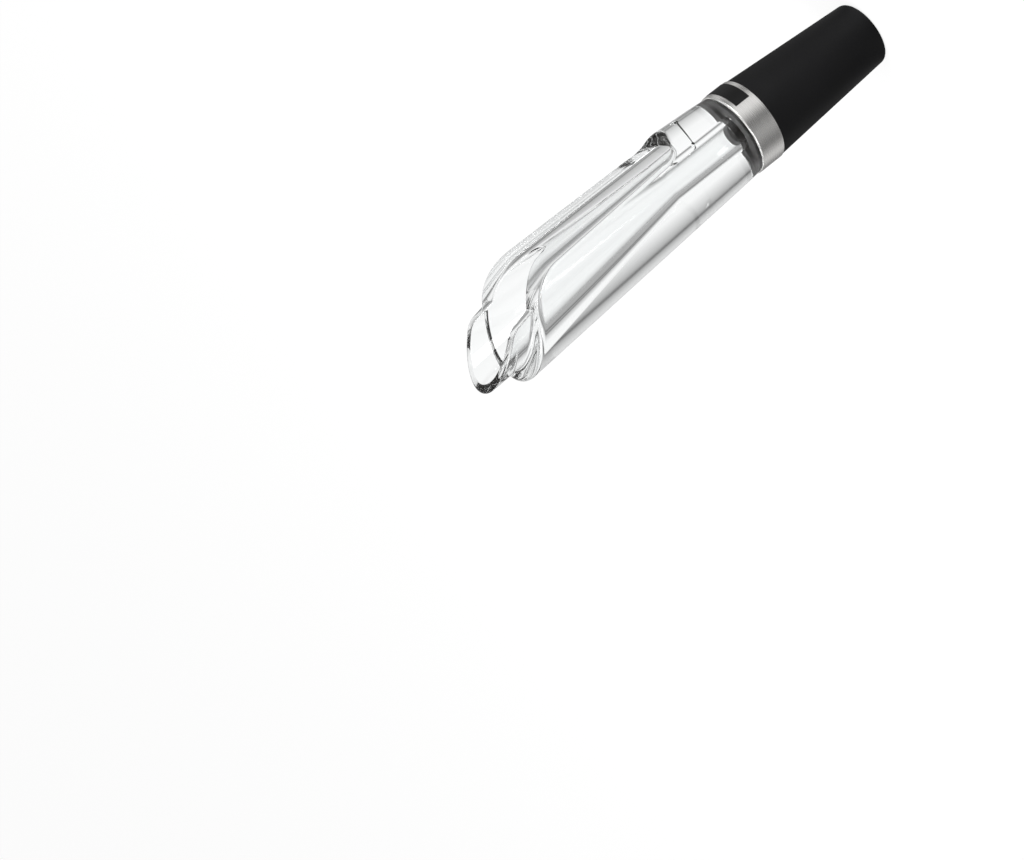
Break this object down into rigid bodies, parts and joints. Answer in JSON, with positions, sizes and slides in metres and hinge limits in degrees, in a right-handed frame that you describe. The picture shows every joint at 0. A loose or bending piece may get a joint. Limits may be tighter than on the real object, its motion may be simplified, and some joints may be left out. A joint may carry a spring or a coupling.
{
  "type": "wine aerator",
  "caption": "Bottle-top aerating pourer: a thick clear flared spout with a long flat window, a small air hole and a slanted lip, on a steel band and a tapered black rubber stopper.",
  "frame": {"origin": "centre of the stopper's lower end face, on the object's axis", "axes": "+Z along the object's axis from the stopper towards the outlet; the window and the open side of the mouth face -Y; +X completes the frame"},
  "size_m": [0.0314, 0.0285, 0.1354],
  "materials": {
    "clear_acrylic": "polished clear",
    "brushed_steel": "brushed round the axis",
    "black_plastic": "satin",
    "black_rubber": "matt"
  },
  "bodies": {
    "root": {"clear_pouring_body": "clear_acrylic", "steel_band": "brushed_steel", "inner_core": "black_plastic", "rubber_stopper": "black_rubber"}
  },
  "joints": []
}
